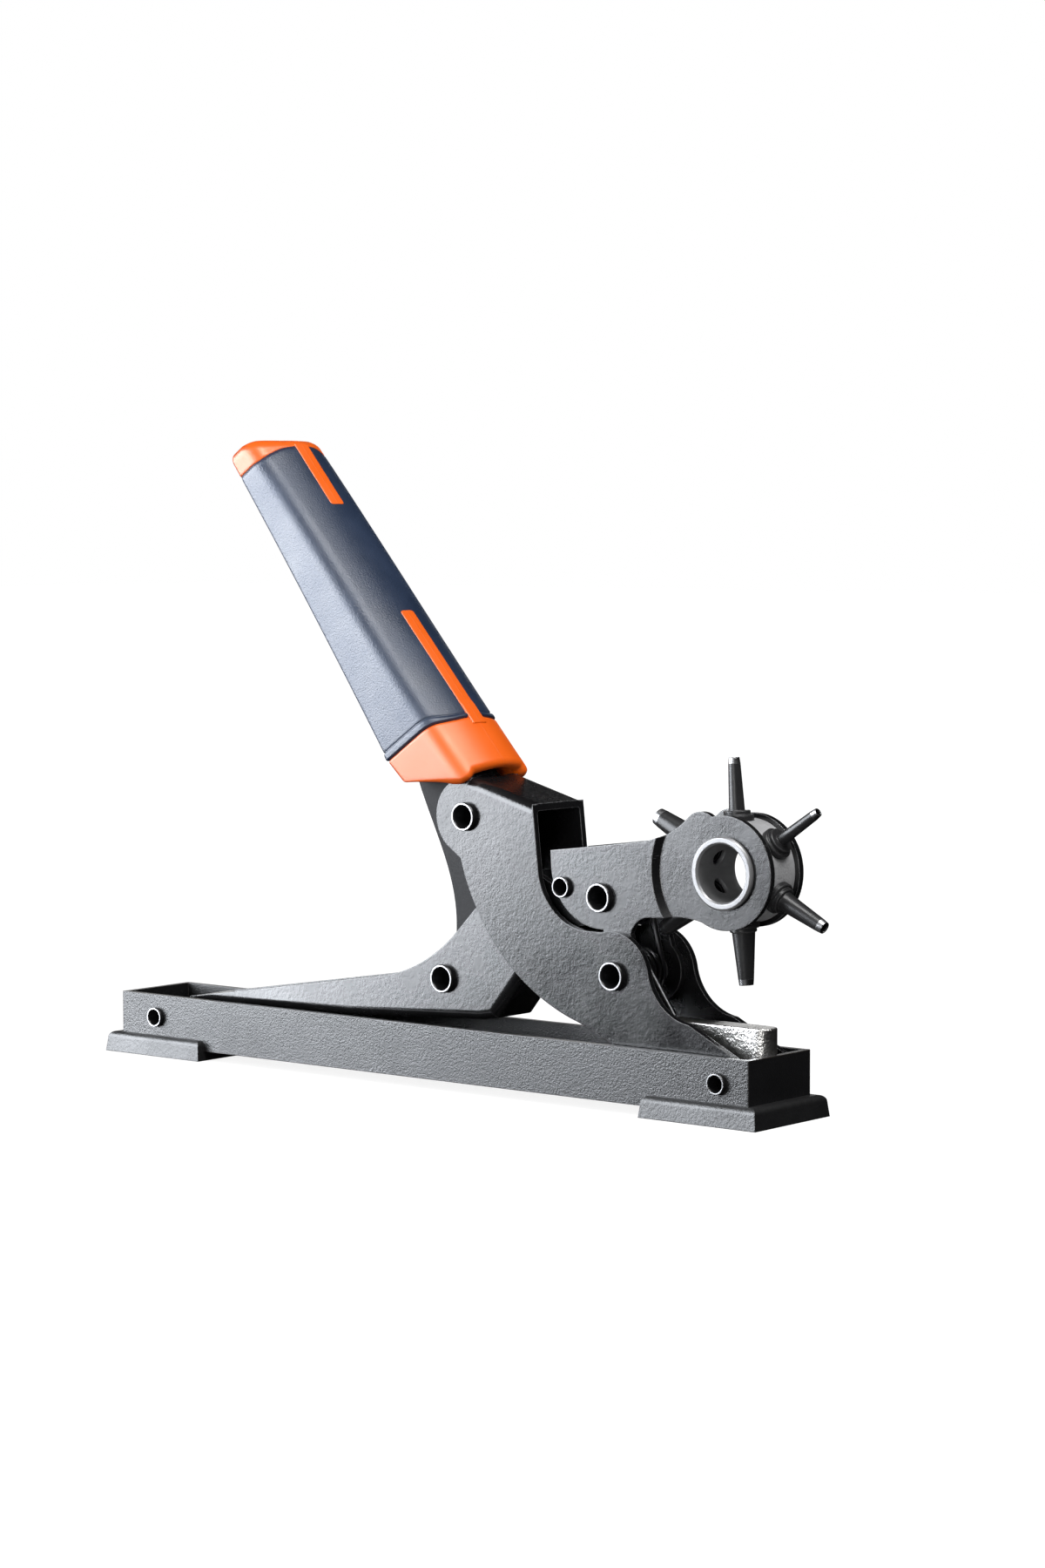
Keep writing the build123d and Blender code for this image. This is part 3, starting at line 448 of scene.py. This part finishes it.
def section_point(s, q, inset=0.0):
    """Point (y, n), in mm, of the grip's section at s along its axis, moved inwards by inset.

    q runs from 0 at the middle of the underside over 1 at the crown to 2. Half a section is a flat, a quarter
    arc of radius LOW_ROUND, the upright side, an arc of radius TOP_ROUND that turns by 90 degrees less the
    crown's end slope phi, and a parabola n = n1 + k (y1^2 - y^2) with k = tan(phi) / (2 y1), which leaves the
    arc without a corner. The other half is its mirror image.
    """
    half = HALF_WIDTH(s) - inset
    low = underside(s) + inset
    edge = SIDE_TOP(s) - inset
    slope = np.arctan(2 * (CROWN(s) - inset - edge) / half)
    turn = np.pi / 2 - slope
    lead = TOP_ROUND * np.tan(turn / 2)
    folded = np.minimum(q, 2.0 - q)
    part = np.digitize(folded, PART_STARTS[1:-1])
    t = (folded - PART_STARTS[part]) / (PART_STARTS[part + 1] - PART_STARTS[part])
    small = LOW_ROUND + 0 * half
    join_y = half - TOP_ROUND + TOP_ROUND * np.sin(slope)
    join_n = edge - lead + TOP_ROUND * np.cos(slope)
    y = [
        (half - small) * t,
        half - small + small * np.sin(t * np.pi / 2),
        half + 0 * t,
        half - TOP_ROUND + TOP_ROUND * np.cos(t * turn),
        join_y * (1 - t),
    ]
    n = [
        low + 0 * t,
        low + small - small * np.cos(t * np.pi / 2),
        low + small + (edge - lead - low - small) * t,
        edge - lead + TOP_ROUND * np.sin(t * turn),
        join_n + np.tan(slope) / (2 * join_y) * (join_y**2 - (join_y * (1 - t)) ** 2),
    ]
    part = np.broadcast_to(part, y[0].shape)
    y_here, n_here = np.choose(part, y), np.choose(part, n)
    return np.where(q > 1.0, -y_here, y_here), n_here


def grip_to_row(s, y, n):
    """Row frame points, in metres, of places given along (s), beside (y) and across (n) the grip's axis."""
    s, y, n = np.broadcast_arrays(s, y, n)
    x = LEVER_PIVOT[0] + s * math.cos(GRIP_ANGLE) + n * math.sin(GRIP_ANGLE)
    z = LEVER_PIVOT[1] + s * math.sin(GRIP_ANGLE) - n * math.cos(GRIP_ANGLE)
    return np.stack([x, y, z], axis=-1) * MM


def grid_piece(name, points, material, body, start_pole, end_pole):
    """Closed mesh of a grid of points whose rows are rings. A fan of triangles to a pole closes each end."""
    rows, columns, _ = points.shape
    index = np.arange(rows * columns).reshape(rows, columns)
    following = np.roll(index, -1, axis=1)
    quads = np.stack([index[1:], following[1:], following[:-1], index[:-1]], axis=-1).reshape(-1, 4)
    first_pole = np.full(columns, rows * columns)
    start_fan = np.stack([index[0], following[0], first_pole], axis=-1)
    end_fan = np.stack([following[-1], index[-1], first_pole + 1], axis=-1)
    vertices = np.concatenate([points.reshape(-1, 3), [start_pole, end_pole]])
    mesh = bpy.data.meshes.new(name)
    mesh.from_pydata(vertices.tolist(), [], quads.tolist() + start_fan.tolist() + end_fan.tolist())
    mesh.polygons.foreach_set("use_smooth", np.ones(len(mesh.polygons), bool))
    mesh.materials.append(material)
    mesh.update()
    piece = bpy.data.objects.new(name, mesh)
    bpy.context.scene.collection.objects.link(piece)
    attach(piece, body)
    return piece


def smooth_step(value):
    """Rise from 0 to 1 without a corner at either end."""
    value = np.clip(value, 0.0, 1.0)
    return value * value * (3.0 - 2.0 * value)


ON_CROWN = smooth_step((np.minimum(ROUND_SECTION, 2.0 - ROUND_SECTION) - 0.5) / 0.3)
GUARD_BORDER = 28.4 - 0.9 * ON_CROWN  # where the navy skin meets the guard, round the section
CAP_BORDER = 133.6 + 1.6 * ON_CROWN  # and where it meets the end cap
MIDDLE_N = -4.0


# body: its lower end is a bead that stands out by BEAD over bead_width, then a thin groove
BEAD, GROOVE = 0.26, 0.2
bead_width = 2.9 - 1.0 * ON_CROWN
share = np.concatenate([np.linspace(0.0, 0.055, 40), np.linspace(0.06, 1.0, 90)])[:, None]
body_s = GUARD_BORDER + share * (CAP_BORDER - GUARD_BORDER)
from_guard = body_s - GUARD_BORDER
bead_rise = BEAD * smooth_step((bead_width - from_guard) / 1.0) - 0.9 * np.exp(-((from_guard / 0.35) ** 2))
groove = GROOVE * np.exp(-(((from_guard - bead_width) / 0.25) ** 2))
near_cap = 0.15 * np.exp(-(((CAP_BORDER - body_s) / 0.3) ** 2))
body_y, body_n = section_point(body_s, ROUND_SECTION, groove + near_cap - bead_rise)
grip_skin = grid_piece(
    "grip_body_skin",
    grip_to_row(body_s, body_y, body_n),
    grip_navy,
    "lever",
    grip_to_row(GUARD_BORDER.max() + 0.5, 0.0, MIDDLE_N),
    grip_to_row(CAP_BORDER.min(), 0.0, MIDDLE_N - 4.0),
)
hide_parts("grip_body")

# end cap: a short wall, then s = s1 + h (1 - r^p)^(1/p) with r from 1 at the wall to 0 at the cap's middle.
# The power p is large on the sides and small on the crown. A soft minimum of width CAP_BLEND cuts the cap
# off level on top.
CAP_TOP, CAP_MIDDLE_N = 143.6, -9.2
CAP_LEVEL, CAP_BLEND = 195.78, 0.25
cap_n = section_point(136.0, ROUND_SECTION)[1]
to_crown = np.clip((cap_n + 9.0) / 9.4, 0.0, 1.0)
wall_end = 138.3 - 2.8 * to_crown
power = 3.0 - 1.55 * to_crown
wall_s = CAP_BORDER + np.linspace(0.0, 1.0, 12)[:, None] * (wall_end - CAP_BORDER)
wall_y, wall_n = section_point(wall_s, ROUND_SECTION, 0.15 * np.exp(-(((wall_s - CAP_BORDER) / 0.3) ** 2)))
radius = np.cos(np.linspace(0.0, 0.98, 44)[1:, None] * np.pi / 2)
dome_s = wall_end + (CAP_TOP - wall_end) * (1 - radius**power) ** (1 / power)
dome_y = wall_y[-1] * radius
dome_n = CAP_MIDDLE_N + (wall_n[-1] - CAP_MIDDLE_N) * radius
level_s = (CAP_LEVEL - LEVER_PIVOT[1] + dome_n * math.cos(GRIP_ANGLE)) / math.sin(GRIP_ANGLE)
dome_s = -CAP_BLEND * np.logaddexp(-dome_s / CAP_BLEND, -level_s / CAP_BLEND)
grip_cap = grid_piece(
    "grip_end_cap_skin",
    grip_to_row(
        np.concatenate([wall_s, dome_s]),
        np.concatenate([wall_y, dome_y]),
        np.concatenate([wall_n, dome_n]),
    ),
    orange_plastic,
    "lever",
    grip_to_row(CAP_BORDER.min(), 0.0, CAP_MIDDLE_N),
    grip_to_row(dome_s[-1].mean(), 0.0, CAP_MIDDLE_N),
)
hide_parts("grip_end_cap")

# guard: an outer wall down to a slanted underside with an arch over the frame's web, then a rolled rim
# and an inner wall
GUARD_TOE_S, GUARD_TOE_N, GUARD_SLANT = 8.2, 6.5, 0.64
ARCH_S, ARCH_HALF, ARCH_EASE = 9.6, 14.4, 2.6
GUARD_WALL, GUARD_CEILING = 3.3, 25.0
low_y, low_n = section_point(14.0, ROUND_SECTION)
slant = GUARD_TOE_S + GUARD_SLANT * np.clip(GUARD_TOE_N - low_n, 0.0, None)
on_arch = smooth_step((ARCH_HALF - np.abs(low_y)) / ARCH_EASE) * (low_n > 0)
rim_low = np.maximum(slant, GUARD_TOE_S + (ARCH_S - GUARD_TOE_S) * on_arch)
outer_round = 1.3 + 0.9 * on_arch
inner_round = (GUARD_WALL - outer_round) / 2
wall_s = GUARD_BORDER + np.linspace(0.0, 1.0, 26)[:, None] ** 1.5 * (rim_low + outer_round - GUARD_BORDER)
wall_y, wall_n = section_point(wall_s, ROUND_SECTION, 0.35 * np.exp(-(((GUARD_BORDER - wall_s) / 0.3) ** 2)))
turn = np.linspace(0.0, np.pi / 2, 9)[1:, None]
rim_s = rim_low + outer_round * (1 - np.sin(turn))
rim_y, rim_n = section_point(rim_s, ROUND_SECTION, outer_round * (1 - np.cos(turn)))
inner_s = rim_low + inner_round * (1 - np.cos(turn))
up_inside = np.linspace(0.2, 1.0, 5)[:, None]
inner_s = np.concatenate([inner_s, inner_s[-1] + up_inside * (GUARD_CEILING - inner_s[-1])])
inner_inset = outer_round + (GUARD_WALL - outer_round) * np.sin(turn)
inner_inset = np.concatenate([inner_inset, np.full((5, 1), GUARD_WALL) + 0 * inner_round])
inner_y, inner_n = section_point(inner_s, ROUND_SECTION, inner_inset)
guard_points = grip_to_row(
    np.concatenate([wall_s, rim_s, inner_s]),
    np.concatenate([wall_y, rim_y, inner_y]),
    np.concatenate([wall_n, rim_n, inner_n]),
)
grip_guard = grid_piece(
    "grip_guard_skin",
    guard_points[:, ::-1],
    orange_plastic,
    "lever",
    grip_to_row(GUARD_BORDER.max(), 0.0, MIDDLE_N),
    grip_to_row(GUARD_CEILING, 0.0, MIDDLE_N),
)
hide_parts("grip_guard")

INLAY_HALF, INLAY_RISE, INLAY_THICK, INLAY_CORNER = 3.1, 0.1, 1.6, 1.0


def inlay_piece(name, start, stop, free_end):
    """Strip that follows the crown, with round corners at its free end.

    Its section is a superellipse: y = w cos(t)^0.2 and n = n0 + h sin(t)^0.35, each with its own sign.
    """
    stations = np.concatenate([np.linspace(start, start + 2.0, 14), np.linspace(start + 2.5, stop - 2.5, 50)])
    stations = np.concatenate([stations, np.linspace(stop - 2.0, stop, 14)])[:, None]
    near_end = np.clip(1.0 - np.abs(stations - free_end) / INLAY_CORNER, 0.0, 1.0)
    width = INLAY_HALF - INLAY_CORNER * (1 - np.sqrt(1 - near_end**2))
    turn = np.linspace(0.0, 2 * np.pi, 40, endpoint=False)[None, :]
    y = width * np.sign(np.cos(turn)) * np.abs(np.cos(turn)) ** 0.2
    tall = INLAY_THICK / 2
    droop = (CROWN(stations) - SIDE_TOP(stations)) * (y / HALF_WIDTH(stations)) ** 2
    _, top = section_point(stations, np.ones((1, 1)))
    rise = INLAY_RISE + BEAD * smooth_step((34.0 - stations) / 1.5)
    n = top + rise - tall - droop + tall * np.sign(np.sin(turn)) * np.abs(np.sin(turn)) ** 0.35
    middle = grip_to_row(stations[:, 0], 0.0, top[:, 0] - tall)
    points = grip_to_row(stations, y, n)
    return grid_piece(name, points, orange_plastic, "lever", middle[0], middle[-1])


lower_inlay = inlay_piece("grip_inlay_lower", 25.0, 69.0, 69.0)
upper_inlay = inlay_piece("grip_inlay_upper", 111.6, 136.0, 111.6)
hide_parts("grip_inlays")

# ------------------------------------------------------------------ floor, world, light, camera
floor_mesh = bpy.data.meshes.new("floor")
FLOOR_HALF = 6  # m
floor_corners = [(x * FLOOR_HALF, y * FLOOR_HALF, 0) for x, y in ((-1, -1), (1, -1), (1, 1), (-1, 1))]
floor_mesh.from_pydata(floor_corners, [], [(0, 1, 2, 3)])
floor = bpy.data.objects.new("floor", floor_mesh)
bpy.context.scene.collection.objects.link(floor)
floor_paint = bpy.data.materials.new("floor")
floor_paint.use_nodes = True
floor_tree = floor_paint.node_tree
floor_tree.nodes.clear()
output = put(floor_tree, "ShaderNodeOutputMaterial")
diffuse = put(floor_tree, "ShaderNodeBsdfDiffuse")
diffuse.inputs["Color"].default_value = (0.2, 0.2, 0.2, 1.0)
glow = put(floor_tree, "ShaderNodeEmission")
path = put(floor_tree, "ShaderNodeLightPath")
floor_place = put(floor_tree, "ShaderNodeTexCoord")
from_middle = put(floor_tree, "ShaderNodeVectorMath", operation="LENGTH")
wire(floor_tree, floor_place.outputs["Object"], from_middle.inputs[0])
whiter = spread(floor_tree, from_middle.outputs["Value"], 0.25, 0.7, 0.88, 1.0)
seen_white = number(floor_tree, "MULTIPLY", path.outputs["Is Camera Ray"], whiter)
wire(floor_tree, seen_white, glow.inputs["Strength"])
both = put(floor_tree, "ShaderNodeAddShader")
wire(floor_tree, diffuse.outputs[0], both.inputs[0])
wire(floor_tree, glow.outputs[0], both.inputs[1])
wire(floor_tree, both.outputs[0], output.inputs["Surface"])
floor_mesh.materials.append(floor_paint)
floor.visible_glossy = False

world = bpy.data.worlds.new("studio")
bpy.context.scene.world = world
world.use_nodes = True
world_tree = world.node_tree
world_tree.nodes.clear()
world_output = put(world_tree, "ShaderNodeOutputWorld")
background = put(world_tree, "ShaderNodeBackground")
background.inputs["Color"].default_value = (1.0, 1.0, 1.0, 1.0)
world_path = put(world_tree, "ShaderNodeLightPath")
FILL, MIRRORED = 0.27, 0.008  # strength of the world for diffuse rays and in reflections
for_diffuse = number(world_tree, "MULTIPLY", world_path.outputs["Is Diffuse Ray"], FILL - MIRRORED)
unseen = number(world_tree, "ADD", for_diffuse, MIRRORED)
strength = number(world_tree, "MAXIMUM", unseen, world_path.outputs["Is Camera Ray"])
wire(world_tree, strength, background.inputs["Strength"])
wire(world_tree, background.outputs[0], world_output.inputs["Surface"])


def softbox(name, place, target, width, height, power, roll=0.0):
    """Rectangular light that faces a target, turned by roll degrees about the line to it."""
    light = bpy.data.lights.new(name, "AREA")
    light.shape = "RECTANGLE"
    light.size = width
    light.size_y = height
    light.energy = power
    lamp = bpy.data.objects.new(name, light)
    lamp.location = place
    aim = (Vector(target) - Vector(place)).to_track_quat("-Z", "Y")
    lamp.rotation_euler = (aim @ Quaternion((0.0, 0.0, 1.0), math.radians(roll))).to_euler()
    bpy.context.scene.collection.objects.link(lamp)
    return lamp


# The key is two lights in one place: one that shows only in reflections and one that only lights.
MIDDLE = (0.0, 0.0, 0.09)
KEY_ROLL = 38.0
KEY_WIDTH, KEY_HEIGHT = 0.95, 0.78
KEY_PLACE, KEY_TARGET = (-0.68, -0.66, 0.36), (0.0, 0.0, 0.36)
key_shape = (KEY_PLACE, KEY_TARGET, KEY_WIDTH, KEY_HEIGHT)
mirrored_key = softbox("key_mirrored", *key_shape, 46.0, roll=KEY_ROLL)
mirrored_key.visible_diffuse = False
mirrored_key.data.color = (0.9, 0.94, 1.0)
soft_key = softbox("key_soft", *key_shape, 14.0, roll=KEY_ROLL)
soft_key.visible_glossy = False
softbox("front_low", (0.3, -0.95, 0.12), (0.0, 0.0, 0.12), 0.35, 0.2, 2.6)
softbox("top_right", (0.62, -0.05, 0.95), MIDDLE, 0.5, 0.5, 10.5)
softbox("back_left", (-0.8, 0.9, 0.22), (0.0, 0.0, 0.12), 0.6, 0.3, 0.8)
edge_light = softbox("edge_light", (0.25, -0.35, 1.0), MIDDLE, 0.32, 0.32, 8.0)
edge_light.visible_diffuse = False

CAMERA_PLACE = (739.725 + TRAY_MIDDLE_X, -860.3625, 172.7)  # mm
CAMERA_TURN, CAMERA_RISE, CAMERA_ROLL = 39.5048, 4.1205, -0.1232  # degrees
camera_data = bpy.data.cameras.new("camera")
camera_data.lens = 85.99
camera_data.sensor_width = 36.0
camera = bpy.data.objects.new("camera", camera_data)
azimuth, elevation, roll = (math.radians(a) for a in (CAMERA_TURN, CAMERA_RISE, CAMERA_ROLL))
right = Vector((math.cos(azimuth), math.sin(azimuth), 0.0))
back = Vector(
    (
        math.sin(azimuth) * math.cos(elevation),
        -math.cos(azimuth) * math.cos(elevation),
        math.sin(elevation),
    )
)
up = back.cross(right)
rolled_right = right * math.cos(roll) + up * math.sin(roll)
rolled_up = up * math.cos(roll) - right * math.sin(roll)
turned = Matrix((rolled_right, rolled_up, back)).transposed().to_4x4()
camera.matrix_world = Matrix.Translation(Vector(CAMERA_PLACE) * MM) @ turned
bpy.context.scene.collection.objects.link(camera)
bpy.context.scene.camera = camera
bpy.context.scene.view_settings.view_transform = "Standard"
